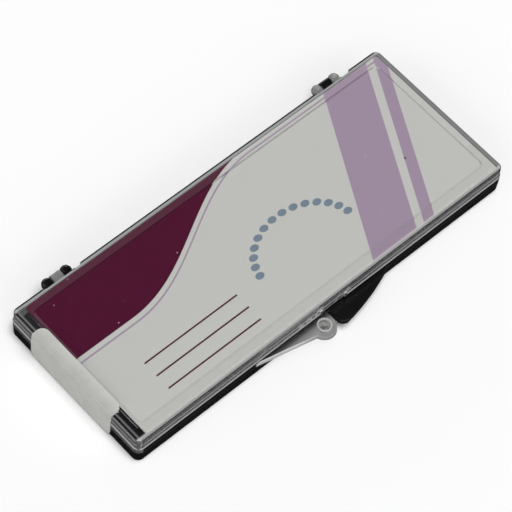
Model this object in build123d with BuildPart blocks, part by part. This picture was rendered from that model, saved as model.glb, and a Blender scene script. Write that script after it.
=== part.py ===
"""Hinged case for a set of orthodontic brackets.

A black tray and a clear lid, moulded each in one piece, turn on two knuckle hinges at the back.
A printed card lies under the lid, a paper seal folds round the left end, and a sticky pad in the
tray carries the brackets. The origin is the middle of the tray's underside, +X runs along the
case, and the hinges are at +Y. Millimetres.
"""

import os
from math import asin, atan2, cos, degrees, pi, sin

from build123d import *

# Case outline
case_length = 140.0
case_width = 54.5
corner_radius = 2.3
parting_height = 4.8

# Tray
floor_thickness = 1.5
tray_draft = 0.25
tray_bottom_chamfer = 0.45
tray_rim_chamfer = 0.22
lip_thickness = 1.2
lip_edge_chamfer = 0.25
lip_back_gap = 5.0

# Lid
lid_edge_height = 11.0
lid_wall = 1.3
lid_top_thickness = 1.1
lid_edge_chamfer = 0.4
bead_height = 2.1
bead_projection = 0.3
bead_chamfer = 0.2
border_width = 4.6
border_rise = 0.2
panel_step_run = 0.7
panel_step_rise = 0.3
panel_corner_radius = 1.5
card_stop_width = 0.55
card_stop_depth = 0.5
card_stop_end_gap = 1.5

# Clearances
lip_clearance = 0.15
card_edge_clearance = 0.1
card_face_clearance = 0.05
card_lip_clearance = 0.2
card_stop_gap = 0.25
tape_clearance = 0.03
knuckle_end_gap = 0.1
pin_clearance = 0.06
ball_wall_clearance = 1.05
ball_shelf_clearance = 0.3

# Hinges
hinge_inset = 18.5
ball_radius = 1.8
ball_tip_radius = 0.6
ball_face_radius = 0.9
ball_steps = 4
ball_foot_length = 2.2
barrel_radius = 1.45
barrel_length = 3.4
pin_radius = 0.6
pin_length = 0.9
pin_end_gap = 0.15
hinge_notch_width = 14.4
hinge_notch_slope = 1.2
hinge_notch_wall = 0.5
hinge_shelf_width = 13.4
hinge_shelf_edge = 1.2
hinge_web_front = 1.1
hinge_web_back = 0.2
lid_arm_above = 1.1
lid_arm_below = 0.9

# Thumb tabs
tab_thickness = 1.6
tab_chamfer = 0.3
tray_tab_start = 1.0
tray_tab_length = 23.0
tray_tab_reach = 5.9
tray_tab_tip_radius = 2.4
tray_tab_bulge = 0.9
lid_tab_start = 0.4
lid_tab_length = 27.0
lid_tab_end_radius = 3.7
lid_tab_end_reach = 3.3
lid_tab_fin_reach = 5.2
boss_radius = 2.2
boss_height = 0.8
boss_rim = 0.45
boss_dish_depth = 0.5

# Front catch
catch_offset = 2.3
catch_width = 7.6
catch_height = 1.0
catch_proud = 0.1
catch_rise = 2.6
catch_pocket_depth = 0.5
catch_pocket_margin = 0.4
catch_gap_margin = 0.9
catch_rib_width = 0.9
catch_rib_reach = 0.45
catch_rib_height = 3.6

# Card, seal and pad
card_thickness = 0.35
card_left_gap = 4.3
tape_width = 33.5
tape_offset = 0.9
tape_thickness = 0.15
tape_top_reach = 4.3
tape_foot_gap = 0.4
tape_corner_radius = 2.4
tape_fold_radius = 0.55
pad_thickness = 1.0
pad_end_gap = 6.0
pad_side_gap = 3.0
pad_corner_radius = 2.0

# Brackets: width of the bonding pad by tooth, from the middle line outwards
upper_pad_widths = (4.0, 3.4, 3.6, 3.4, 3.4)
lower_pad_widths = (3.0, 3.0, 3.5, 3.4, 3.4)
first_hooked_tooth = 3
row_spacing = 20.0
bonding_pad_height = 3.2
bonding_pad_thickness = 0.5
bonding_pad_hollow = 0.2
bonding_pad_corner = 0.4
bracket_height = 2.3
wing_span = 3.1
wing_overhang = 0.6
wing_thickness = 0.75
slot_width = 0.56
slot_depth = 0.75
wing_side_inset = 0.3
wing_gap_share = 0.28
hook_radius = 0.2
hook_head_radius = 0.32
hook_reach = 0.75
hook_sides = 6

# Sizes that follow from those above
half_length = case_length / 2
half_width = case_width / 2
wall_length = case_length - 2 * bead_projection
wall_width = case_width - 2 * bead_projection
wall_corner = corner_radius - bead_projection
room_length = wall_length - 2 * lid_wall
room_width = wall_width - 2 * lid_wall
room_corner = wall_corner - lid_wall
lid_underside = lid_edge_height - lid_top_thickness
panel_length = wall_length - 2 * border_width
panel_width = wall_width - 2 * border_width
lip_length = room_length - 2 * lip_clearance
lip_width = room_width - 2 * lip_clearance
lip_corner = room_corner - lip_clearance
cavity_length = lip_length - 2 * lip_thickness
cavity_width = lip_width - 2 * lip_thickness
cavity_corner = lip_corner / 2
card_top = lid_underside - card_face_clearance
card_bottom = card_top - card_thickness
lip_top = card_bottom - card_lip_clearance
card_left = -half_length + card_left_gap
card_right = room_length / 2 - card_edge_clearance
hinge_notch_face = room_width / 2 + hinge_notch_wall
hinge_axis_rise = ball_shelf_clearance + ball_radius
hinge_axis_y = hinge_notch_face + ball_wall_clearance + ball_radius
hinge_axis_z = parting_height + hinge_axis_rise
hinge_shelf_reach = hinge_axis_y + hinge_web_back - half_width
hinge_centres = (hinge_inset - half_length, half_length - hinge_inset)
ball_face_offset = barrel_length / 2 + knuckle_end_gap
ball_face_turn = pi - asin(ball_face_radius / ball_radius)
ball_tip_turn = asin(ball_tip_radius / ball_radius)
ball_offset = ball_face_offset - ball_radius * cos(ball_face_turn)
catch_gap_width = catch_width + 2 * catch_gap_margin
pad_length = cavity_length - 2 * pad_end_gap
pad_width = cavity_width - 2 * pad_side_gap
pad_top = floor_thickness + pad_thickness
bracket_pitch = pad_length / (len(upper_pad_widths) * 2)


def across(x, y=0.0, z=0.0):
    """A plane square to X, with its first axis along Y and its second along Z."""
    return Plane(origin=(x, y, z), x_dir=(0, 1, 0), z_dir=(1, 0, 0))


def ball(centre, side):
    """An outer knuckle: a ball on the hinge line, flat at its tip and on its face towards the barrel."""
    turn_step = (ball_face_turn - ball_tip_turn) / ball_steps
    turns = [ball_tip_turn + step * turn_step for step in range(ball_steps + 1)]
    rim = [(ball_radius * cos(turn), ball_radius * sin(turn)) for turn in turns]
    middle = (centre + side * ball_offset, hinge_axis_y, hinge_axis_z)
    with BuildPart() as knuckle:
        with BuildSketch(Plane(origin=middle, x_dir=(side, 0, 0), z_dir=(0, -side, 0))):
            with BuildLine():
                Polyline((rim[0][0], 0), *rim, (rim[-1][0], 0), close=True)
            make_face()
        revolve(axis=Axis(middle, (1, 0, 0)))
    return knuckle.part


def barrel(centre):
    """A middle knuckle."""
    with BuildPart() as knuckle:
        with BuildSketch(across(centre - barrel_length / 2, hinge_axis_y, hinge_axis_z)):
            Circle(barrel_radius)
        extrude(amount=barrel_length)
    return knuckle.part


def hinge_pins(centre):
    """The two short pins that stand on the balls' faces."""
    pins = []
    for x_start in (centre - ball_face_offset, centre + ball_face_offset - pin_length):
        with BuildPart() as pin:
            with BuildSketch(across(x_start, hinge_axis_y, hinge_axis_z)):
                Circle(pin_radius)
            extrude(amount=pin_length)
        pins.append(pin.part)
    return pins


def pin_sockets(centre):
    """The two blind holes in a barrel that take the pins."""
    depth = pin_length - knuckle_end_gap + pin_end_gap
    sockets = []
    for x_start in (centre - barrel_length / 2, centre + barrel_length / 2 - depth):
        with BuildPart() as socket:
            with BuildSketch(across(x_start, hinge_axis_y, hinge_axis_z)):
                Circle(pin_radius + pin_clearance)
            extrude(amount=depth)
        sockets.append(socket.part)
    return sockets


def foot_spans(ball_hinge, barrel_hinge):
    """Start along X and length of what carries two balls at one hinge and a barrel at the other."""
    spans = [(ball_hinge + side * ball_offset - ball_foot_length / 2, ball_foot_length) for side in (-1, 1)]
    spans.append((barrel_hinge - barrel_length / 2, barrel_length))
    return spans


def tray_tab():
    """The tray's fin on the front wall: widest beside the middle line and running out to nothing."""
    height = parting_height - tab_thickness
    root_y = -half_width + tray_draft + lip_clearance
    near_x = tray_tab_start
    far_x = tray_tab_start + tray_tab_length
    tip_y = -half_width - tray_tab_reach
    middle = ((near_x + far_x) / 2, (tip_y - half_width) / 2 - tray_tab_bulge)
    with BuildPart() as tab:
        with BuildSketch(Plane.XY.offset(height)) as outline:
            with BuildLine():
                Polyline((near_x, tip_y), (near_x, root_y), (far_x, root_y), (far_x, -half_width))
                ThreePointArc((far_x, -half_width), middle, (near_x, tip_y))
            make_face()
            fillet(outline.vertices().sort_by(Axis.Y)[0], radius=tray_tab_tip_radius)
        extrude(amount=tab_thickness)
        free_edges = tab.faces().sort_by(Axis.Z)[-1].edges().filter_by_position(
            Axis.Y, tip_y - 1, -half_width - tab_chamfer
        )
        chamfer(free_edges, length=tab_chamfer)
    return tab.part


def lid_tab():
    """The lid's fin: a round end beside the middle line, a straight run to the wall, and a dished boss."""
    root_y = -half_width + bead_projection + lid_wall / 2
    end_x = -lid_tab_start - lid_tab_end_radius
    end_y = -half_width - lid_tab_end_reach
    with BuildPart() as tab:
        with BuildSketch(Plane.XY.offset(parting_height)):
            with BuildLine():
                Polyline(
                    (-lid_tab_start, root_y),
                    (-lid_tab_start, end_y),
                    (end_x, -half_width - lid_tab_fin_reach),
                    (-lid_tab_start - lid_tab_length, -half_width),
                    (-lid_tab_start - lid_tab_length, root_y),
                    close=True,
                )
            make_face()
            with Locations((end_x, end_y)):
                Circle(lid_tab_end_radius)
        extrude(amount=tab_thickness)
        free_edges = tab.faces().sort_by(Axis.Z)[-1].edges().filter_by_position(
            Axis.Y, end_y - lid_tab_end_radius - 1, -half_width - tab_chamfer
        )
        chamfer(free_edges, length=tab_chamfer)
        with BuildSketch(Plane.XY.offset(parting_height)):
            with Locations((end_x, end_y)):
                Circle(boss_radius)
        extrude(amount=tab_thickness + boss_height)
        with BuildSketch(Plane.XY.offset(parting_height + tab_thickness + boss_height)):
            with Locations((end_x, end_y)):
                Circle(boss_radius - boss_rim)
        extrude(amount=-boss_dish_depth, mode=Mode.SUBTRACT)
    return tab.part


def bonding_pad(x, y, width):
    """The bracket's foot, hollowed to sit on the curve of a tooth, with clipped corners."""
    with BuildPart() as foot:
        with BuildSketch(Plane(origin=(x, y, pad_top), x_dir=(1, 0, 0), z_dir=(0, -1, 0))):
            with BuildLine():
                Polyline(
                    (-width / 2, 0),
                    (-width / 4, bonding_pad_hollow),
                    (width / 4, bonding_pad_hollow),
                    (width / 2, 0),
                    (width / 2, bonding_pad_thickness),
                    (-width / 2, bonding_pad_thickness),
                    close=True,
                )
            make_face()
        extrude(amount=bonding_pad_height / 2, both=True)
        chamfer(foot.edges().filter_by(Axis.Z), length=bonding_pad_corner)
    return foot.part


def bracket(x, y, width, gingival, hooked):
    """A twin bracket: foot, neck, four tie wings, wire slot and, on hooked ones, a hook with a head.

    gingival is 1 where the gum side faces +Y and -1 where it faces -Y.
    """
    body_width = width - 2 * wing_side_inset
    half_span = wing_span / 2
    half_neck = half_span - wing_overhang
    half_slot = slot_width / 2
    wing_foot = bracket_height - wing_thickness
    slot_floor = bracket_height - slot_depth
    with BuildPart() as body:
        add(bonding_pad(x, y, width))
        with BuildSketch(across(x - body_width / 2, y, pad_top)):
            with BuildLine():
                Polyline(
                    (0, slot_floor),
                    (half_slot, slot_floor),
                    (half_slot, bracket_height),
                    (half_neck, bracket_height),
                    (half_span - wing_overhang / 4, bracket_height - wing_thickness / 3),
                    (half_span, wing_foot),
                    (half_neck, wing_foot),
                    (half_neck, bonding_pad_thickness / 2 + bonding_pad_hollow / 2),
                    (0, bonding_pad_thickness / 2 + bonding_pad_hollow / 2),
                    (0, slot_floor),
                )
            make_face()
            mirror(about=Plane.YZ)
        extrude(amount=body_width)
        with BuildSketch(Plane(origin=(x, y, pad_top + slot_floor))):
            Rectangle(body_width * wing_gap_share, wing_span + hook_reach)
        extrude(amount=slot_depth, mode=Mode.SUBTRACT)
        if hooked:
            hook_x = x + body_width * (1 + wing_gap_share) / 4
            hook_root = half_span - wing_overhang / 2
            hook_z = pad_top + wing_foot + hook_radius
            shaft = Plane(
                origin=(hook_x, y + gingival * hook_root, hook_z),
                x_dir=(1, 0, 0),
                z_dir=(0, gingival, 0),
            )
            with BuildSketch(shaft):
                RegularPolygon(hook_radius, hook_sides)
            extrude(amount=hook_reach + wing_overhang / 2)
            with BuildSketch(shaft.offset(hook_reach + wing_overhang / 2 - hook_head_radius)):
                RegularPolygon(hook_head_radius, hook_sides)
            extrude(amount=hook_head_radius * 2)
    return body.part


# Tray
with BuildPart() as base_tray:
    with BuildSketch():
        RectangleRounded(
            case_length - 2 * tray_draft, case_width - 2 * tray_draft, corner_radius - tray_draft
        )
    extrude(amount=parting_height, taper=-degrees(atan2(tray_draft, parting_height)))
    chamfer(base_tray.faces().sort_by(Axis.Z)[0].edges(), length=tray_bottom_chamfer)
    chamfer(base_tray.faces().sort_by(Axis.Z)[-1].edges(), length=tray_rim_chamfer)

    # Lip on three sides, open at the back where the lid's wall swings in
    with BuildSketch(Plane.XY.offset(parting_height)):
        RectangleRounded(lip_length, lip_width, lip_corner)
        with Locations((0, half_width)):
            Rectangle(case_length, 2 * lip_back_gap, mode=Mode.SUBTRACT)
    extrude(amount=lip_top - parting_height)
    chamfer(base_tray.faces().sort_by(Axis.Z)[-1].edges(), length=lip_edge_chamfer)
    with BuildSketch(Plane.XY.offset(floor_thickness)):
        RectangleRounded(cavity_length, cavity_width, cavity_corner)
    extrude(amount=lip_top - floor_thickness, mode=Mode.SUBTRACT)

    # Catch on the front lip
    with BuildSketch(Plane.XZ.offset(lip_width / 2 - lip_thickness / 2)):
        with Locations((catch_offset, parting_height + catch_rise)):
            SlotOverall(catch_width, catch_height)
    extrude(amount=lip_thickness / 2 + catch_proud)

    # Hinge shelves, and the knuckles that stand on them
    for centre in hinge_centres:
        with BuildSketch(across(centre - hinge_shelf_width / 2)):
            with BuildLine():
                Polyline(
                    (half_width - lid_wall, parting_height),
                    (half_width + hinge_shelf_reach, parting_height),
                    (half_width + hinge_shelf_reach, parting_height - hinge_shelf_edge),
                    (half_width - lid_wall, parting_height - hinge_shelf_edge - hinge_shelf_reach),
                    close=True,
                )
            make_face()
        extrude(amount=hinge_shelf_width)
    left_hinge, right_hinge = hinge_centres
    for piece in (ball(left_hinge, -1), ball(left_hinge, 1), *hinge_pins(left_hinge), barrel(right_hinge)):
        add(piece)
    for start, length in foot_spans(left_hinge, right_hinge):
        with BuildSketch(across(start, hinge_axis_y, hinge_axis_z)):
            with Locations(((hinge_web_back - hinge_web_front) / 2, -hinge_axis_rise / 2)):
                Rectangle(hinge_web_front + hinge_web_back, hinge_axis_rise)
        extrude(amount=length)
    for socket in pin_sockets(right_hinge):
        add(socket, mode=Mode.SUBTRACT)

    add(tray_tab())
base_tray.part.label = "base_tray"

# Lid
with BuildPart() as lid:
    with BuildSketch(Plane.XY.offset(parting_height)):
        RectangleRounded(case_length, case_width, corner_radius)
    extrude(amount=bead_height)
    chamfer(lid.edges().filter_by(Axis.Z, reverse=True), length=bead_chamfer)
    with BuildSketch(Plane.XY.offset(parting_height)):
        with Locations((catch_offset, -half_width)):
            Rectangle(catch_gap_width, 2 * bead_projection)
    extrude(amount=bead_height, mode=Mode.SUBTRACT)
    with BuildSketch(Plane.XY.offset(parting_height)):
        RectangleRounded(wall_length, wall_width, wall_corner)
    extrude(amount=lid_edge_height - parting_height)
    chamfer(lid.faces().sort_by(Axis.Z)[-1].edges(), length=lid_edge_chamfer)

    # Sloping border, then the step up to the centre panel
    with BuildSketch(Plane.XY.offset(lid_edge_height)):
        RectangleRounded(
            wall_length - 2 * lid_edge_chamfer,
            wall_width - 2 * lid_edge_chamfer,
            wall_corner - lid_edge_chamfer,
        )
    with BuildSketch(Plane.XY.offset(lid_edge_height + border_rise)):
        RectangleRounded(
            panel_length + 2 * panel_step_run,
            panel_width + 2 * panel_step_run,
            panel_corner_radius + panel_step_run,
        )
    loft(ruled=True)
    with BuildSketch(Plane.XY.offset(lid_edge_height + border_rise)):
        RectangleRounded(
            panel_length + 2 * panel_step_run,
            panel_width + 2 * panel_step_run,
            panel_corner_radius + panel_step_run,
        )
    with BuildSketch(Plane.XY.offset(lid_edge_height + border_rise + panel_step_rise)):
        RectangleRounded(panel_length, panel_width, panel_corner_radius)
    loft(ruled=True)

    # Notches in the back wall at the hinges
    with BuildSketch(Plane.XY.offset(parting_height)):
        for centre in hinge_centres:
            with BuildLine():
                Polyline(
                    (centre - hinge_notch_width / 2, half_width),
                    (centre - hinge_notch_width / 2 + hinge_notch_slope, hinge_notch_face),
                    (centre + hinge_notch_width / 2 - hinge_notch_slope, hinge_notch_face),
                    (centre + hinge_notch_width / 2, half_width),
                    close=True,
                )
            make_face()
    extrude(amount=lid_edge_height + border_rise - parting_height, mode=Mode.SUBTRACT)

    # Hinge arms and knuckles
    for piece in (ball(right_hinge, -1), ball(right_hinge, 1), *hinge_pins(right_hinge), barrel(left_hinge)):
        add(piece)
    for start, length in foot_spans(right_hinge, left_hinge):
        with BuildSketch(across(start)):
            with BuildLine():
                Polyline(
                    (half_width - lid_wall, hinge_axis_z - lid_arm_below),
                    (hinge_axis_y, hinge_axis_z - lid_arm_below),
                    (hinge_axis_y, hinge_axis_z + lid_arm_above),
                    (half_width - lid_wall, hinge_axis_z + lid_arm_above),
                    close=True,
                )
            make_face()
        extrude(amount=length)
    for socket in pin_sockets(left_hinge):
        add(socket, mode=Mode.SUBTRACT)

    # Thumb tab, and a small upright rib at each end of the bead's gap
    add(lid_tab())
    with BuildSketch(Plane.XY.offset(parting_height)):
        with Locations(
            (catch_offset - catch_gap_width / 2, -wall_width / 2),
            (catch_offset + catch_gap_width / 2, -wall_width / 2),
        ):
            Rectangle(catch_rib_width, 2 * catch_rib_reach)
    extrude(amount=catch_rib_height)

    # Room inside, and the pocket for the catch in the front wall
    with BuildSketch(Plane.XY.offset(parting_height)):
        RectangleRounded(room_length, room_width, room_corner)
    extrude(amount=lid_underside - parting_height, mode=Mode.SUBTRACT)
    with BuildSketch(Plane.XZ.offset(room_width / 2 - lip_clearance)):
        with Locations((catch_offset, parting_height + catch_rise)):
            SlotOverall(catch_width + 2 * catch_pocket_margin, catch_height + 2 * catch_pocket_margin)
    extrude(amount=lip_clearance + catch_pocket_depth, mode=Mode.SUBTRACT)

    # Wedge under the top that stops the card's short end
    stop_length = cavity_width - 2 * card_stop_end_gap
    stop_right = card_left - card_stop_gap
    with BuildSketch(Plane.XZ.offset(-stop_length / 2)):
        with BuildLine():
            Polyline(
                (stop_right - card_stop_width, lid_underside),
                (stop_right, lid_underside),
                (stop_right, lid_underside - card_stop_depth),
                close=True,
            )
        make_face()
    extrude(amount=stop_length)
lid.part.label = "lid"

# Card, short at the left end
with BuildPart() as insert_card:
    with BuildSketch(Plane.XY.offset(card_bottom)):
        with Locations(((card_left + card_right) / 2, 0)):
            Rectangle(card_right - card_left, room_width - 2 * card_edge_clearance)
    extrude(amount=card_thickness)
    fillet(insert_card.edges().filter_by(Axis.Z), radius=room_corner)
insert_card.part.label = "insert_card"

# Seal, folded over the left end from the lid's border to the tray's foot
tape_offset_out = tape_clearance + tape_thickness / 2
tape_crest = lid_edge_height + border_rise + tape_offset_out
tape_side = -half_length - tape_offset_out
with BuildPart() as seal_tape:
    with BuildSketch(Plane.XZ.offset(-tape_offset - tape_width / 2)):
        with BuildLine() as fold:
            FilletPolyline(
                (-half_length + tape_top_reach, tape_crest),
                (tape_side + bead_projection, lid_edge_height + tape_offset_out),
                (tape_side, parting_height + bead_height),
                (tape_side, tape_foot_gap),
                radius=(tape_fold_radius, bead_chamfer),
            )
        trace(fold.line, line_width=tape_thickness)
    extrude(amount=tape_width)
    corners = [edge for edge in seal_tape.edges() if abs(edge.length - tape_thickness) < tape_thickness / 10]
    fillet(corners, radius=tape_corner_radius)
seal_tape.part.label = "seal_tape"

# Sticky pad on the tray's floor
with BuildPart() as adhesive_pad:
    with BuildSketch(Plane.XY.offset(floor_thickness)):
        RectangleRounded(pad_length, pad_width, pad_corner_radius)
    extrude(amount=pad_thickness)
adhesive_pad.part.label = "adhesive_pad"

os.makedirs("parts", exist_ok=True)
for piece in (base_tray, lid, insert_card, seal_tape, adhesive_pad):
    export_step(piece.part, f"parts/{piece.part.label}.step")

# Brackets, five to each quarter of the mouth, numbered from the middle line
for arch, gingival, widths in (("upper", 1, upper_pad_widths), ("lower", -1, lower_pad_widths)):
    for side_name, side in (("right", -1), ("left", 1)):
        for tooth, pad_size in enumerate(widths, start=1):
            tooth_x = side * (tooth - 0.5) * bracket_pitch
            tooth_y = gingival * row_spacing / 2
            made = bracket(tooth_x, tooth_y, pad_size, gingival, tooth >= first_hooked_tooth)
            made.label = f"bracket_{arch}_{side_name}_{tooth}"
            export_step(made, f"parts/{made.label}.step")
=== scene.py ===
"""Looks of the hinged bracket case: finishes for every piece, floor, light and camera."""

import math

import bpy
from mathutils import Matrix, Vector

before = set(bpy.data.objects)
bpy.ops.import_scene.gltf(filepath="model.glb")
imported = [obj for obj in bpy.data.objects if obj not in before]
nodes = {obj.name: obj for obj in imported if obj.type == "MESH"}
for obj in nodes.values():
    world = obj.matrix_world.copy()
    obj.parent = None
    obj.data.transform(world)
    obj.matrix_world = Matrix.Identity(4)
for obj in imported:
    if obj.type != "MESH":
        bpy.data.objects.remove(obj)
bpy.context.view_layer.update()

# Places and sizes on the case are in millimetres of its own frame, and noise scales are per millimetre.
# A value named EDGE holds where a mask starts and how wide its soft step is. One named SPAN, HEIGHTS or
# LEVELS holds a mask's two ends, and a third number in it is the width of its soft steps. One named NOISE
# holds a scale, a detail and a stretch along each axis.
MM = 0.001
SHARP = 0.06

# How much of a surface is clear plastic and not covered by a mark: all of it, or none
ALL_CLEAR = 1.0
OPAQUE = 0.0

# Camera, as fitted to the photograph's 512 pixel frame, with its clipping in metres
FRAME_PIXELS = 512
FOCAL_PIXELS = 2703.9
SENSOR_WIDTH = 36.0
CAMERA_PLACE = Vector((-301.8, -265.3, 659.4)) * MM
CAMERA_FORWARD = Vector((0.38995, 0.34507, -0.85373))
CAMERA_UP = Vector((0.54781, 0.65829, 0.51629))
CAMERA_CLIP = (0.05, 20.0)

# Black tray, with a fine moulded grain
BLACKS = ((0.004, 0.004, 0.0045, 1.0), (0.009, 0.009, 0.0095, 1.0))
BLACK_CLOUD = 0.12
BLACK_ROUGHNESS = (0.10, 0.17)
BLACK_SPECULAR = 0.3
BLACK_GRAIN = 4.0
BLACK_GRAIN_HEIGHT = 0.0006

# Clear lid: tint, gloss with rubbing marks, light through each face, and the clearness that most painted
# light and painted highlights leave
CLEAR = (0.985, 0.99, 0.99, 1.0)
CLEAR_IOR = 1.57
CLEAR_ROUGHNESS = (0.0, 0.04)
RUB_NOISE = (0.5, 4.0, (0.15, 2.5, 1.0))
LAMP_PASS = (0.95, 0.95, 0.95, 1.0)
PAINTED_LIGHT_CLEARNESS = 0.3

# Moulded step round the lid's raised panel: how upright its normals are, and painted shade lines on its near
# and far sides, which also dim lamps passing through it
STEP_LEVELS = (0.88, 0.96, 0.02)
STEP_AWAY_EDGE = (-0.1, 0.2)
NEAR_STEP_PAINTED_SHADE = (0.73, 0.73, 0.73, 1.0)
FAR_STEP_PAINTED_SHADE = (0.46, 0.46, 0.47, 1.0)
STEP_CLEARNESS = (0.95, 0.99)

# Flat strips of the lid's top in front of its raised panel and behind it: painted shade on the front strip,
# and a pale painted reflection on the back strip
LID_TOP = 10.9
STRIP_TOP = 11.2
STRIP_START = 15.0
FRONT_STRIP_PAINTED_SHADE = (0.90, 0.90, 0.89, 1.0)
BACK_STRIP_PAINTED_REFLECTION = (0.985, 0.985, 0.985, 1.0)
BACK_STRIP_CLEARNESS = 0.98

# Painted light on the lid's top over its walls: grey, paler inside its front edge, and painted dark shade on
# the rim at the back
RIGHT_WALL_EDGE = (68.1, 0.5)
RIGHT_WALL_PAINTED_LIGHT = (0.29, 0.29, 0.295, 1.0)
SIDE_WALL = 25.3
SIDE_WALL_SOFT = 0.5
FRONT_INNER_PAINTED_LIGHT = (0.545, 0.548, 0.53, 1.0)
FRONT_INNER_LIGHT_EDGE = (-26.5, 0.3)
FRONT_OUTER_PAINTED_LIGHT = (0.34, 0.34, 0.35, 1.0)
BACK_WALL_PAINTED_LIGHT = (0.46, 0.47, 0.47, 1.0)
RIM_START = 26.3
RIM_FOOT = 10.5
RIM_SHADE = (0.02, 0.02, 0.02, 1.0)

# Painted highlight lines in the lid's upright walls and on its bead's edge: their heights and greys
LINE_SOFT = 0.05
WALL_HIGHLIGHT_LINES = (
    ((8.5, 8.8, LINE_SOFT), (0.58, 0.58, 0.59, 1.0)),
    ((6.7, 6.95, LINE_SOFT), (0.40, 0.40, 0.41, 1.0)),
)
LINE_CLEARNESS = 0.4
OUTSIDE_END = 69.4
OUTSIDE_SIDE = 26.65

# Painted light: grey of the lid's left wall and its corners
LEFT_WALL_EDGE = (-69.75, 0.5)
LEFT_CORNER_EDGE = (-68.8, 0.8)
LEFT_WALL_PAINTED_LIGHT = (0.17, 0.17, 0.175, 1.0)
LEFT_CLEARNESS = 0.5

# Faintly hazy lid top over the gap at the card's left end, and a painted highlight streak
GAP_START = -65.9
GAP_HAZE = (0.5, 0.5, 0.51, 1.0)
GAP_CLEARNESS = 0.985
STREAK_SPAN = (-68.44, -68.32, 0.3)
STREAK_PAINTED_HIGHLIGHT = (0.18, 0.18, 0.19, 1.0)
STREAK_CLEARNESS = 0.3

# Painted glints in the front wall at the catch: dark and pale painted reflections
CATCH_SPAN = (-10.0, 8.0, 1.0)
CATCH_HEIGHTS = (7.2, 9.6, 0.5)
GLINT_NOISE = (0.75, 2.0)
GLINT_EDGE = (0.48, 0.14)
GLINTS = ((0.05, 0.05, 0.055, 1.0), (0.62, 0.62, 0.64, 1.0))
GLINT_CLEARNESS = 0.4

# Painted highlights on two ribs beside the catch, on the front wall
RIB_FACE = -27.0
RIB_FOOT = 6.95
RIB_PAINTED_HIGHLIGHT = (0.55, 0.55, 0.56, 1.0)
RIB_CLEARNESS = 0.4

# Lid's thumb tab: its end and the wall, painted shade next to the wall, lighter painted shade further out,
# and a painted highlight on its side
TAB_END = -32.0
TAB_WALL = -27.4
TAB_SHADE = (0.20, 0.20, 0.20, 1.0)
TAB_FAR_PAINTED_SHADE = (0.36, 0.36, 0.36, 1.0)
TAB_CLEARNESS = 0.5
TAB_SIDE_LEVEL = 0.9
TAB_SIDE_EDGE = (-14.0, 8.0)
TAB_SIDE_PAINTED_HIGHLIGHT = (0.60, 0.60, 0.59, 1.0)

# Boss on the thumb tab: painted dark and pale reflections in its dish, and a painted highlight on its rim
BOSS_CENTRE = (-4.1, -30.55)
BOSS_RIM = (1.7, 2.25)
BOSS_LEVEL = 6.7
BOSS_RIM_PAINTED_HIGHLIGHT = (0.46, 0.46, 0.45, 1.0)
DISH_NOISE = (0.6, 1.0)
DISH_EDGE = (0.35, 0.3)
DISH_PAINTED_REFLECTIONS = ((0.11, 0.11, 0.11, 1.0), (0.34, 0.34, 0.33, 1.0))
DISH_CLEARNESS = 0.5

# Grey, partly clear knuckles of the lid's hinges, past its back wall
KNUCKLE_EDGE = (27.4, 0.3)
KNUCKLE_GREY = (0.34, 0.34, 0.34, 1.0)
KNUCKLE_CLEARNESS = 0.55

# Dirt on the lid's top: pale dust in a share of the cells of a pattern, and one dark speck
DUST_CELL = 9.0
DUST_RADIUS = 0.14
DUST_SHARE = 0.6
DUST_SOFT = 0.3
CHANCE_SOFT = 0.001
DUST_COLOUR = (0.75, 0.74, 0.72, 1.0)
SPECK_PLACE = (49.4, -6.5)
SPECK_EDGE = (0.28, 0.1)
SPECK_COLOUR = (0.02, 0.02, 0.02, 1.0)

# Coated card
WHITE_CARDS = ((0.609, 0.611, 0.582, 1.0), (0.59073, 0.59267, 0.56454, 1.0))
CARD_CLOUD = 0.3
CARD_SMEAR = 1.5
CARD_ROUGHNESS = (0.34, 0.46)
CARD_SPECULAR = 0.08
CARD_GRAIN = 6.0
CARD_GRAIN_HEIGHT = 0.003
UNDERSIDE_LEVEL = -0.5

# Print on the card
MAROON = (0.084, 0.0085, 0.032, 1.0)
LILAC = (0.389, 0.301, 0.397, 1.0)
SLATE = (0.20, 0.26, 0.32, 1.0)
SWEEP_LOW = 4.0
SWEEP_RISE = 22.0
SWEEP_START = -45.0
SWEEP_LENGTH = 62.0
RULE_GAP = 1.5
RULE_WIDTH = 0.5
BAND_SLANT = 0.55
BANDS = ((33.0, 50.0), (53.0, 57.0))
ARCH_CENTRE = (8.0, -10.0)
ARCH_SIZE = (17.0, 13.0)
ARCH_DOTS = 14
DOT_RADIUS = 1.25
WRITING_LINES = (-9.0, -14.0, -19.0)
WRITING_SPAN = (-52.0, -18.0)
WRITING_WIDTH = 0.45

# Paper seal with painted light: its flat top darker at the outer edge and paler at the inner edge, and
# painted shades on its fold and end, found by how upright their normals are
PAPER_PAINTED_SHADE_AND_LIGHT = ((0.42, 0.42, 0.3998, 1.0), (0.525, 0.525, 0.5012, 1.0))
PAPER_PAINTED_LIGHT_EDGE = (-69.5, 3.7)
END_LEVEL = 0.2
PAPER_END_PAINTED_LIGHT = (0.49, 0.49, 0.466, 1.0)
FOLD_LEVELS = (END_LEVEL, 0.96, 0.03)
PAPER_FOLD_PAINTED_LIGHT = (0.435, 0.435, 0.414, 1.0)

# Paper's mottling, fibres and creases
MOTTLE_NOISE = (0.25, 4.0)
MOTTLE_EDGE = (0.35, 0.3)
MOTTLE_SHADES = (0.955, 1.045)
FIBRE_NOISE = (5.0, 5.0, (1.0, 0.4, 1.0))
FIBRE_SHARE = 0.15
CREASE_NOISE = (0.35, 2.0, (0.3, 1.0, 1.0))
CREASE_HEIGHT = 0.06
PAPER_ROUGHNESS = (0.7, 0.85)
PAPER_SPECULAR = 0.25

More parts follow.
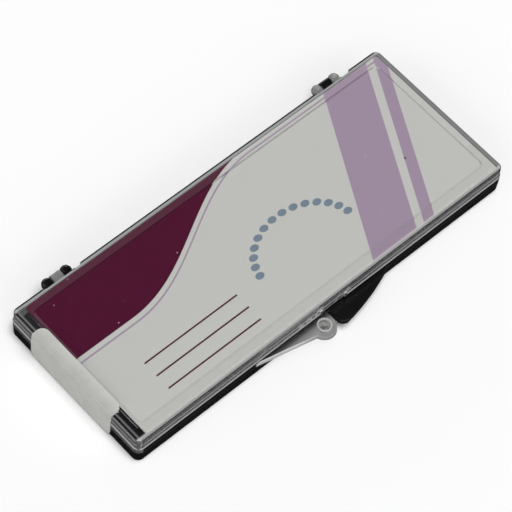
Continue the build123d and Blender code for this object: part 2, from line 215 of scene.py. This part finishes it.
# Sticky pad, with a line across its middle and one under each row of brackets
PADS = ((0.74, 0.75, 0.74, 1.0), (0.78, 0.79, 0.78, 1.0))
PAD_CLOUD = 0.4
PAD_SMEAR = 2.0
PAD_ROUGHNESS = (0.25, 0.4)
PAD_GRAIN = 1.2
PAD_GRAIN_HEIGHT = 0.02
MIDDLE_LINE_HALF = 0.12
ROW_LINE_HALF = 0.1
ROW_PLACE = 10.0

# Ceramic of the brackets
CERAMICS = ((0.72, 0.76, 0.76, 1.0), (0.82, 0.84, 0.83, 1.0))
CERAMIC_CLOUD = 1.0
CERAMIC_ROUGHNESS = (0.15, 0.28)
CERAMIC_CLEARNESS = 0.35
CERAMIC_IOR = 1.7
CERAMIC_GRAIN = 8.0
CERAMIC_GRAIN_HEIGHT = 0.004

# Floor, in metres
FLOOR_REACH = 6.0
FLOOR_DROP = 0.00005
FLOOR_CORNERS = ((-1, -1), (1, -1), (1, 1), (-1, 1))
FLOOR_COLOUR = (0.93, 0.93, 0.93, 1.0)
FLOOR_ROUGHNESS = 0.9
FLOOR_SPECULAR = 0.0

# Sky: a turn is how far a direction faces the backdrop, and a foot or top is how far up it points.
# Each runs from -1 to 1 and is given as the two ends of a soft step.
BACKDROP_SIDE = (0.707, 0.707, 0.0)
BACKDROP_TURN = (0.2, 0.5)
BACKDROP_FOOT = (-0.14, -0.06)
BACKDROP_TOP = (0.14, 0.26)
BACKDROP_GREY = 2.6
HORIZON_TOP = (0.06, 0.14)
HORIZON_GREY = 1.3
DARK_GREY = 0.015
THROUGH_GREY = 0.16
RING_TURN = (-0.30, -0.10)
RING_FOOT = (0.16, 0.24)
RING_TOP = (0.55, 0.65)
RING_SIDES = (-0.8, 0.2)
RING_LEFT_GREY = 1.3
RING_FRONT_GREY = 1.5
RING_MIRRORED_GREY = 0.9

# Sun, with its spread in degrees
SUN_SIDE = Vector((0.0, -0.22, 0.97))
SUN_STRENGTH = 2.62
SUN_SPREAD = 45


class Nodes:
    """A node tree, with short calls for the nodes that the finishes and the sky share."""

    def __init__(self, tree, output_kind):
        self.tree = tree
        tree.nodes.clear()
        self.output = tree.nodes.new(output_kind)

    def feed(self, socket, value):
        """Links an input to an output, or sets its value."""
        if isinstance(value, bpy.types.NodeSocket):
            self.tree.links.new(value, socket)
        else:
            socket.default_value = value

    def add(self, kind, settings=None, inputs=None):
        """A new node, with its settings and inputs."""
        node = self.tree.nodes.new(kind)
        for key, value in (settings or {}).items():
            setattr(node, key, value)
        for key, value in (inputs or {}).items():
            self.feed(node.inputs[key], value)
        return node

    def surface(self, shader):
        """Makes a shader the result of the tree."""
        self.feed(self.output.inputs["Surface"], shader)

    def math(self, operation, first, second=0.0, clamp=False):
        """The result of a math node."""
        settings = {"operation": operation, "use_clamp": clamp}
        return self.add("ShaderNodeMath", settings, {0: first, 1: second}).outputs[0]

    def times(self, first, second):
        """The product of two values, which for two masks is 1 where both are."""
        return self.math("MULTIPLY", first, second)

    def spread(self, value, start, stop, low, high):
        """low where value is up to start, high from stop on, and an even slope between them."""
        inputs = {"Value": value, "From Min": start, "From Max": stop, "To Min": low, "To Max": high}
        return self.add("ShaderNodeMapRange", None, inputs).outputs["Result"]

    def ranged(self, value, low, high):
        """A 0 to 1 value spread between low and high."""
        return self.spread(value, 0.0, 1.0, low, high)

    def rise(self, value, start, stop):
        """0 where value is up to start, and 1 from stop on."""
        return self.spread(value, start, stop, 0.0, 1.0)

    def fall(self, value, start, stop):
        """1 where value is up to start, and 0 from stop on."""
        return self.spread(value, start, stop, 1.0, 0.0)

    def below(self, value, edge, soft=SHARP):
        """1 where value is under edge, and 0 past a soft step above it."""
        return self.fall(value, edge, edge + soft)

    def above(self, value, edge, soft=SHARP):
        """0 where value is under edge, and 1 past a soft step above it."""
        return self.rise(value, edge, edge + soft)

    def within(self, value, low, high, soft=SHARP):
        """1 where value lies between low and high, with a soft step outside both."""
        from_middle = self.math("ABSOLUTE", self.math("SUBTRACT", value, (low + high) / 2))
        return self.below(from_middle, (high - low) / 2, soft)

    def length(self, across, along):
        """The length of a line that goes so far across and along."""
        return self.math("SQRT", self.math("ADD", self.times(across, across), self.times(along, along)))

    def distance(self, x, y, centre):
        """How far x and y lie from a centre."""
        return self.length(self.math("SUBTRACT", x, centre[0]), self.math("SUBTRACT", y, centre[1]))


class Finish(Nodes):
    """A new material, with calls for places on the surface, noise and shaders."""

    def __init__(self, name):
        self.material = bpy.data.materials.new(name)
        self.material.use_nodes = True
        super().__init__(self.material.node_tree, "ShaderNodeOutputMaterial")

    def object_place(self):
        """The surface point in metres of the case's frame."""
        return self.add("ShaderNodeTexCoord").outputs["Object"]

    def millimetres(self):
        """The surface point's x, y and z in millimetres of the case's frame."""
        parts = self.add("ShaderNodeSeparateXYZ", None, {0: self.object_place()})
        return [self.times(socket, 1 / MM) for socket in parts.outputs]

    def normal(self):
        """The x, y and z parts of the surface's normal in the case's frame."""
        normal = self.add("ShaderNodeTexCoord").outputs["Normal"]
        return self.add("ShaderNodeSeparateXYZ", None, {0: normal}).outputs

    def scaled_place(self, scale):
        """The surface point in millimetres, times a scale for each axis."""
        inputs = {"Vector": self.object_place(), "Scale": tuple(axis / MM for axis in scale)}
        return self.add("ShaderNodeMapping", None, inputs).outputs[0]

    def noise(self, per_mm, detail=3.0, stretch=(1.0, 1.0, 1.0)):
        """Noise from 0 to 1, with a scale per millimetre and a stretch along each axis."""
        inputs = {"Vector": self.scaled_place(stretch), "Scale": per_mm, "Detail": detail}
        return self.add("ShaderNodeTexNoise", None, inputs).outputs["Fac"]

    def flecks(self, cell, radius, share, soft):
        """1 on small round flecks, one at most in each cell, in a share of the cells."""
        inputs = {"Vector": self.scaled_place((1 / cell,) * 3), "Scale": 1.0}
        cells = self.add("ShaderNodeTexVoronoi", {"voronoi_dimensions": "2D"}, inputs)
        chance = self.add("ShaderNodeSeparateColor", None, {0: cells.outputs["Color"]}).outputs[0]
        size = self.times(chance, radius / cell / share)
        spot = self.below(self.math("SUBTRACT", cells.outputs["Distance"], size), 0.0, soft * radius / cell)
        return self.times(spot, self.below(chance, share, CHANCE_SOFT))

    def mix(self, share, first, second):
        """first where share is 0 and second where it is 1."""
        node = self.add("ShaderNodeMix", {"data_type": "RGBA"})
        self.feed(node.inputs["Factor"], share)
        self.feed(node.inputs[6], first)
        self.feed(node.inputs[7], second)
        return node.outputs[2]

    def bump(self, height, height_mm):
        """The normal of a relief with a 0 to 1 height that stands for so many millimetres."""
        inputs = {"Height": height, "Distance": height_mm * MM, "Strength": 1.0}
        return self.add("ShaderNodeBump", None, inputs).outputs["Normal"]

    def principled(self, inputs):
        """A principled shader."""
        return self.add("ShaderNodeBsdfPrincipled", None, inputs).outputs["BSDF"]

    def made(self, inputs):
        """The material, with one principled shader as its surface."""
        self.surface(self.principled(inputs))
        return self.material


class LidFinish(Finish):
    """The clear lid's material, with the places and masks that its marks share."""

    def __init__(self, name):
        super().__init__(name)
        self.x, self.y, self.z = self.millimetres()
        self.off_x = self.math("ABSOLUTE", self.x)
        self.off_y = self.math("ABSOLUTE", self.y)
        self.on_top = self.above(self.z, LID_TOP)
        across, along, self.level = self.normal()
        self.step = self.within(self.level, *STEP_LEVELS)
        self.step_away = self.above(self.math("ADD", across, along), *STEP_AWAY_EDGE)
        # Painted shade lines on the step, darker on its far sides
        self.step_painted_shade = self.mix(self.step_away, NEAR_STEP_PAINTED_SHADE, FAR_STEP_PAINTED_SHADE)


def black_plastic():
    """Moulded black polystyrene: near black, satin, with a fine moulded grain."""
    tray = Finish("tray_black_plastic")
    cloud = tray.noise(BLACK_CLOUD)
    return tray.made(
        {
            "Base Color": tray.mix(cloud, *BLACKS),
            "Roughness": tray.ranged(cloud, *BLACK_ROUGHNESS),
            "Specular IOR Level": BLACK_SPECULAR,
            "Normal": tray.bump(tray.noise(BLACK_GRAIN), BLACK_GRAIN_HEIGHT),
        }
    )


# Marks on the lid: each has a mask, a colour and the clearness that it leaves


def panel_marks(lid):
    """Painted shade on the flat strip in front of the raised panel, a painted reflection on the one behind
    it, and painted shade lines on the moulded step round it.
    """
    strip = lid.within(lid.z, LID_TOP, STRIP_TOP)
    front_strip = lid.times(strip, lid.below(lid.y, -STRIP_START))
    back_strip = lid.times(strip, lid.above(lid.y, STRIP_START))
    return [
        (front_strip, FRONT_STRIP_PAINTED_SHADE, ALL_CLEAR),
        (back_strip, BACK_STRIP_PAINTED_REFLECTION, BACK_STRIP_CLEARNESS),
        (lid.step, lid.step_painted_shade, lid.ranged(lid.step_away, *STEP_CLEARNESS)),
    ]


def tab_marks(lid):
    """The thumb tab: painted shade next to the wall, lighter painted shade further out and a painted
    highlight on its side.
    """
    tab = lid.below(lid.y, TAB_WALL)
    towards_wall = lid.rise(lid.y, TAB_END, TAB_WALL)
    side = lid.times(tab, lid.below(lid.math("ABSOLUTE", lid.level), TAB_SIDE_LEVEL))
    side = lid.times(side, lid.below(lid.x, *TAB_SIDE_EDGE))
    return [
        (lid.times(tab, towards_wall), TAB_SHADE, ALL_CLEAR),
        (lid.math("SUBTRACT", tab, towards_wall, clamp=True), TAB_FAR_PAINTED_SHADE, TAB_CLEARNESS),
        (side, TAB_SIDE_PAINTED_HIGHLIGHT, PAINTED_LIGHT_CLEARNESS),
    ]


def left_end_marks(lid):
    """The faintly hazy lid over the gap at the card's left end, painted grey light on the left wall and a
    painted highlight streak.
    """
    gap = lid.times(lid.on_top, lid.below(lid.x, GAP_START))
    corner = lid.times(lid.below(lid.x, *LEFT_CORNER_EDGE), lid.above(lid.off_y, SIDE_WALL))
    wall = lid.math("MAXIMUM", lid.below(lid.x, *LEFT_WALL_EDGE), corner)
    streak = lid.times(lid.on_top, lid.within(lid.x, *STREAK_SPAN))
    return [
        (gap, GAP_HAZE, GAP_CLEARNESS),
        (wall, LEFT_WALL_PAINTED_LIGHT, LEFT_CLEARNESS),
        (streak, STREAK_PAINTED_HIGHLIGHT, STREAK_CLEARNESS),
    ]


def catch_marks(lid):
    """Painted glints in the front wall at the catch, and painted highlights on the ribs beside it."""
    catch = lid.times(lid.within(lid.x, *CATCH_SPAN), lid.within(lid.z, *CATCH_HEIGHTS))
    catch = lid.times(catch, lid.within(lid.y, TAB_WALL, -OUTSIDE_SIDE))
    glint = lid.mix(lid.above(lid.noise(*GLINT_NOISE), *GLINT_EDGE), *GLINTS)
    ribs = lid.times(lid.below(lid.y, RIB_FACE), lid.above(lid.z, RIB_FOOT))
    ribs = lid.times(ribs, lid.above(lid.y, TAB_WALL))
    return [
        (catch, glint, GLINT_CLEARNESS),
        (ribs, RIB_PAINTED_HIGHLIGHT, RIB_CLEARNESS),
    ]


def wall_marks(lid):
    """Painted light on the tops of the right, front and back walls, painted shade on the back rim, and
    painted highlight lines in the walls.
    """
    right_wall = lid.times(lid.on_top, lid.above(lid.x, *RIGHT_WALL_EDGE))
    side_wall = lid.times(lid.on_top, lid.above(lid.off_y, SIDE_WALL, SIDE_WALL_SOFT))
    front_painted_light = lid.mix(lid.above(lid.y, *FRONT_INNER_LIGHT_EDGE), FRONT_OUTER_PAINTED_LIGHT, FRONT_INNER_PAINTED_LIGHT)
    side_painted_light = lid.mix(lid.above(lid.y, 0.0), front_painted_light, BACK_WALL_PAINTED_LIGHT)
    back_rim = lid.times(lid.above(lid.y, RIM_START), lid.above(lid.z, RIM_FOOT))
    past_end = lid.above(lid.off_x, OUTSIDE_END)
    past_side = lid.above(lid.off_y, OUTSIDE_SIDE)
    outside = lid.math("MAXIMUM", past_end, past_side)
    lines = [
        (lid.times(outside, lid.within(lid.z, *heights)), line_highlight, LINE_CLEARNESS)
        for heights, line_highlight in WALL_HIGHLIGHT_LINES
    ]
    return [
        (right_wall, RIGHT_WALL_PAINTED_LIGHT, PAINTED_LIGHT_CLEARNESS),
        (side_wall, side_painted_light, PAINTED_LIGHT_CLEARNESS),
        (back_rim, RIM_SHADE, ALL_CLEAR),
        *lines,
    ]


def boss_marks(lid):
    """Painted dark and pale reflections in the dish of the thumb tab's boss, and a painted highlight on its
    rim.
    """
    from_boss = lid.distance(lid.x, lid.y, BOSS_CENTRE)
    dish = lid.below(from_boss, BOSS_RIM[1])
    dish_painted_reflection = lid.mix(lid.above(lid.noise(*DISH_NOISE), *DISH_EDGE), *DISH_PAINTED_REFLECTIONS)
    rim = lid.times(lid.within(from_boss, *BOSS_RIM), lid.above(lid.z, BOSS_LEVEL))
    return [
        (dish, dish_painted_reflection, DISH_CLEARNESS),
        (rim, BOSS_RIM_PAINTED_HIGHLIGHT, PAINTED_LIGHT_CLEARNESS),
    ]


def knuckle_marks(lid):
    """Grey on the hinge knuckles, which leaves them partly clear."""
    return [(lid.above(lid.y, *KNUCKLE_EDGE), KNUCKLE_GREY, KNUCKLE_CLEARNESS)]


def dirt_marks(lid):
    """Pale dust and one dark speck on the top."""
    dust = lid.flecks(DUST_CELL, DUST_RADIUS, DUST_SHARE, DUST_SOFT)
    speck = lid.below(lid.distance(lid.x, lid.y, SPECK_PLACE), *SPECK_EDGE)
    return [
        (lid.times(lid.on_top, dust), DUST_COLOUR, OPAQUE),
        (lid.times(lid.on_top, speck), SPECK_COLOUR, OPAQUE),
    ]


# Marks in the order in which they lie over each other
LID_MARKS = (
    panel_marks,
    tab_marks,
    left_end_marks,
    catch_marks,
    wall_marks,
    boss_marks,
    knuckle_marks,
    dirt_marks,
)


def clear_plastic():
    """Clear polystyrene with rubbing marks, painted light, shade, highlights and reflections, a faintly hazy
    patch, dust and a speck. Lamps and scattered light pass through it.
    """
    lid = LidFinish("lid_clear_plastic")
    tint = CLEAR
    clearness = ALL_CLEAR
    for marks in LID_MARKS:
        for mask, colour, left_clear in marks(lid):
            tint = lid.mix(mask, tint, colour)
            clearness = lid.times(clearness, lid.ranged(mask, ALL_CLEAR, left_clear))
    glass = lid.principled(
        {
            "Base Color": tint,
            "Roughness": lid.ranged(lid.noise(*RUB_NOISE), *CLEAR_ROUGHNESS),
            "IOR": CLEAR_IOR,
            "Transmission Weight": clearness,
        }
    )
    # Lamps pass through the lid, dimmed where the step's painted shade lies
    passed = lid.mix(lid.step, LAMP_PASS, lid.step_painted_shade)
    passing = lid.add("ShaderNodeBsdfTransparent", None, {"Color": passed}).outputs[0]
    path = lid.add("ShaderNodeLightPath").outputs
    lamp = lid.math("MAXIMUM", path["Is Shadow Ray"], path["Is Diffuse Ray"])
    lid.surface(lid.add("ShaderNodeMixShader", None, {0: lamp, 1: glass, 2: passing}).outputs[0])
    return lid.material


def printed_card():
    """White coated card with a plain print: a sweep, slanted bands, an arch of dots and writing lines."""
    card = Finish("card_print_coated")
    x, y, _ = card.millimetres()
    plain = card.mix(card.noise(CARD_CLOUD), *WHITE_CARDS)
    colour = plain

    # Slanted lilac bands
    slanted = card.math("SUBTRACT", x, card.times(y, BAND_SLANT))
    for band in BANDS:
        colour = card.mix(card.within(slanted, *band), colour, LILAC)

    # Dark sweep along the back, with a fine rule under it
    along = card.math("DIVIDE", card.math("SUBTRACT", x, SWEEP_START), SWEEP_LENGTH, clamp=True)
    swing = card.math("COSINE", card.times(along, math.pi))
    climb = card.times(card.math("SUBTRACT", 1.0, swing), SWEEP_RISE / 2)
    under = card.math("SUBTRACT", card.math("ADD", climb, SWEEP_LOW), y)
    colour = card.mix(card.below(under, 0.0), colour, MAROON)
    colour = card.mix(card.within(under, RULE_GAP, RULE_GAP + RULE_WIDTH), colour, LILAC)

    # Arch of dots, spread evenly along half an ellipse
    mean_radius = sum(ARCH_SIZE) / 2
    dot_turn = math.pi / ARCH_DOTS
    across = card.math("DIVIDE", card.math("SUBTRACT", x, ARCH_CENTRE[0]), ARCH_SIZE[0])
    outward = card.math("DIVIDE", card.math("SUBTRACT", y, ARCH_CENTRE[1]), ARCH_SIZE[1])
    turn = card.math("DIVIDE", card.math("ARCTAN2", outward, across), dot_turn)
    off_dot = card.math("SUBTRACT", card.math("FRACT", turn), 0.5)
    along_dot = card.times(off_dot, mean_radius * dot_turn)
    across_dot = card.times(card.math("SUBTRACT", card.length(across, outward), 1.0), mean_radius)
    dots = card.below(card.length(along_dot, across_dot), DOT_RADIUS)
    colour = card.mix(card.times(dots, card.math("GREATER_THAN", outward, 0.0)), colour, SLATE)

    # Writing lines
    span = card.within(x, *WRITING_SPAN)
    for line in WRITING_LINES:
        row = card.within(y, line - WRITING_WIDTH / 2, line + WRITING_WIDTH / 2)
        colour = card.mix(card.times(row, span), colour, MAROON)

    # The underside is plain
    colour = card.mix(card.above(card.normal()["Z"], UNDERSIDE_LEVEL), plain, colour)

    return card.made(
        {
            "Base Color": colour,
            "Roughness": card.ranged(card.noise(CARD_SMEAR), *CARD_ROUGHNESS),
            "Specular IOR Level": CARD_SPECULAR,
            "Normal": card.bump(card.noise(CARD_GRAIN), CARD_GRAIN_HEIGHT),
        }
    )


def seal_paper():
    """Matt warm white paper, mottled, with fibres and faint creases. Painted light: the top pales towards its
    inner edge, and fold and end have painted shades of their own.
    """
    paper = Finish("seal_white_paper")
    x, _, _ = paper.millimetres()
    upright = paper.math("ABSOLUTE", paper.normal()["Z"])
    # Painted light: paler towards the inner edge, and painted shades on the fold and the end
    colour = paper.mix(paper.above(x, *PAPER_PAINTED_LIGHT_EDGE), *PAPER_PAINTED_SHADE_AND_LIGHT)
    colour = paper.mix(paper.within(upright, *FOLD_LEVELS), colour, PAPER_FOLD_PAINTED_LIGHT)
    colour = paper.mix(paper.below(upright, END_LEVEL), colour, PAPER_END_PAINTED_LIGHT)
    mottle = paper.ranged(paper.above(paper.noise(*MOTTLE_NOISE), *MOTTLE_EDGE), *MOTTLE_SHADES)
    mottled = paper.add("ShaderNodeVectorMath", {"operation": "SCALE"}, {0: colour, "Scale": mottle})
    fibre = paper.noise(*FIBRE_NOISE)
    relief = paper.math("ADD", paper.times(fibre, FIBRE_SHARE), paper.noise(*CREASE_NOISE))
    return paper.made(
        {
            "Base Color": mottled.outputs[0],
            "Roughness": paper.ranged(fibre, *PAPER_ROUGHNESS),
            "Specular IOR Level": PAPER_SPECULAR,
            "Normal": paper.bump(relief, CREASE_HEIGHT),
        }
    )


def pad_board():
    """White sticky board with a line across its middle and a guide line under each row."""
    pad = Finish("pad_white_board")
    x, y, _ = pad.millimetres()
    from_row = pad.math("SUBTRACT", pad.math("ABSOLUTE", y), ROW_PLACE)
    colour = pad.mix(pad.noise(PAD_CLOUD), *PADS)
    for place, half in ((x, MIDDLE_LINE_HALF), (from_row, ROW_LINE_HALF)):
        colour = pad.mix(pad.within(place, -half, half), colour, SLATE)
    return pad.made(
        {
            "Base Color": colour,
            "Roughness": pad.ranged(pad.noise(PAD_SMEAR), *PAD_ROUGHNESS),
            "Normal": pad.bump(pad.noise(PAD_GRAIN), PAD_GRAIN_HEIGHT),
        }
    )


def bracket_ceramic():
    """Translucent polished ceramic."""
    bracket = Finish("bracket_translucent_ceramic")
    cloud = bracket.noise(CERAMIC_CLOUD)
    return bracket.made(
        {
            "Base Color": bracket.mix(cloud, *CERAMICS),
            "Roughness": bracket.ranged(cloud, *CERAMIC_ROUGHNESS),
            "Transmission Weight": CERAMIC_CLEARNESS,
            "IOR": CERAMIC_IOR,
            "Normal": bracket.bump(bracket.noise(CERAMIC_GRAIN), CERAMIC_GRAIN_HEIGHT),
        }
    )


# Finishes of the CAD nodes, where those that aren't named here are the brackets
ceramic = bracket_ceramic()
finishes = {
    "base_tray": black_plastic(),
    "lid": clear_plastic(),
    "insert_card": printed_card(),
    "seal_tape": seal_paper(),
    "adhesive_pad": pad_board(),
}
for name, node in nodes.items():
    slots = node.data.materials
    slots.clear()
    slots.append(finishes.get(name, ceramic))

# Floor, which shows neither in reflections nor through the clear plastic
floor_mesh = bpy.data.meshes.new("studio_floor")
floor_points = [(FLOOR_REACH * x, FLOOR_REACH * y, -FLOOR_DROP) for x, y in FLOOR_CORNERS]
floor_mesh.from_pydata(floor_points, [], [(0, 1, 2, 3)])
floor = bpy.data.objects.new("studio_floor", floor_mesh)
bpy.context.collection.objects.link(floor)
floor.visible_glossy = False
floor.visible_transmission = False
floor_paint = Finish("studio_floor_paint").made(
    {"Base Color": FLOOR_COLOUR, "Roughness": FLOOR_ROUGHNESS, "Specular IOR Level": FLOOR_SPECULAR}
)
floor_mesh.materials.append(floor_paint)

# Sky
world = bpy.data.worlds.new("studio")
bpy.context.scene.world = world
world.use_nodes = True
sky = Nodes(world.node_tree, "ShaderNodeOutputWorld")
outwards = sky.add("ShaderNodeTexCoord").outputs["Generated"]
sideways, _, upwards = sky.add("ShaderNodeSeparateXYZ", None, {0: outwards}).outputs
towards_backdrop = {0: outwards, 1: BACKDROP_SIDE}
facing = sky.add("ShaderNodeVectorMath", {"operation": "DOT_PRODUCT"}, towards_backdrop).outputs["Value"]
ray = sky.add("ShaderNodeLightPath").outputs

# Bright backdrop behind the case
backdrop_height = sky.times(sky.rise(upwards, *BACKDROP_FOOT), sky.fall(upwards, *BACKDROP_TOP))
backdrop = sky.times(sky.spread(facing, *BACKDROP_TURN, 0.0, BACKDROP_GREY), backdrop_height)

# Pale horizon all round, dark above and below
horizon = sky.spread(sky.math("ABSOLUTE", upwards), *HORIZON_TOP, HORIZON_GREY, DARK_GREY)

# Grey that the clear plastic shows in place of the floor
floor_grey = sky.spread(upwards, *BACKDROP_FOOT, THROUGH_GREY, 0.0)
beneath = sky.times(ray["Is Transmission Ray"], floor_grey)

# Part of a ring of light at the front and left, dimmer where the case mirrors it
ring_height = sky.times(sky.rise(upwards, *RING_FOOT), sky.fall(upwards, *RING_TOP))
ring_shape = sky.times(sky.fall(facing, *RING_TURN), ring_height)
ring_grey = sky.spread(sideways, *RING_SIDES, RING_LEFT_GREY, RING_FRONT_GREY)
ring_grey = sky.ranged(ray["Is Glossy Ray"], ring_grey, RING_MIRRORED_GREY)
ring = sky.times(ring_shape, ring_grey)

grey = backdrop
for part in (horizon, beneath, ring):
    grey = sky.math("MAXIMUM", grey, part)
sky.surface(sky.add("ShaderNodeBackground", None, {"Color": grey}).outputs[0])

# Soft sun from above, which shows neither in reflections nor through the clear plastic
sun_light = bpy.data.lights.new("soft_key", "SUN")
sun_light.energy = SUN_STRENGTH
sun_light.angle = math.radians(SUN_SPREAD)
sun = bpy.data.objects.new("soft_key", sun_light)
sun_aim = SUN_SIDE.normalized()
sun_turn = (-sun_aim).to_track_quat("-Z", "Y").to_matrix().to_4x4()
sun.matrix_world = Matrix.Translation(sun_aim) @ sun_turn
sun.visible_glossy = False
sun.visible_transmission = False
bpy.context.collection.objects.link(sun)

# Camera at the photograph's angle
camera_data = bpy.data.cameras.new("photo_camera")
camera_data.sensor_width = SENSOR_WIDTH
camera_data.lens = FOCAL_PIXELS / FRAME_PIXELS * SENSOR_WIDTH
camera_data.clip_start, camera_data.clip_end = CAMERA_CLIP
camera = bpy.data.objects.new("photo_camera", camera_data)
back = -CAMERA_FORWARD.normalized()
right = CAMERA_UP.cross(back).normalized()
up = back.cross(right)
camera_turn = Matrix((right, up, back)).transposed().to_4x4()
camera.matrix_world = Matrix.Translation(CAMERA_PLACE) @ camera_turn
bpy.context.collection.objects.link(camera)
bpy.context.scene.camera = camera
bpy.context.scene.view_settings.view_transform = "Standard"
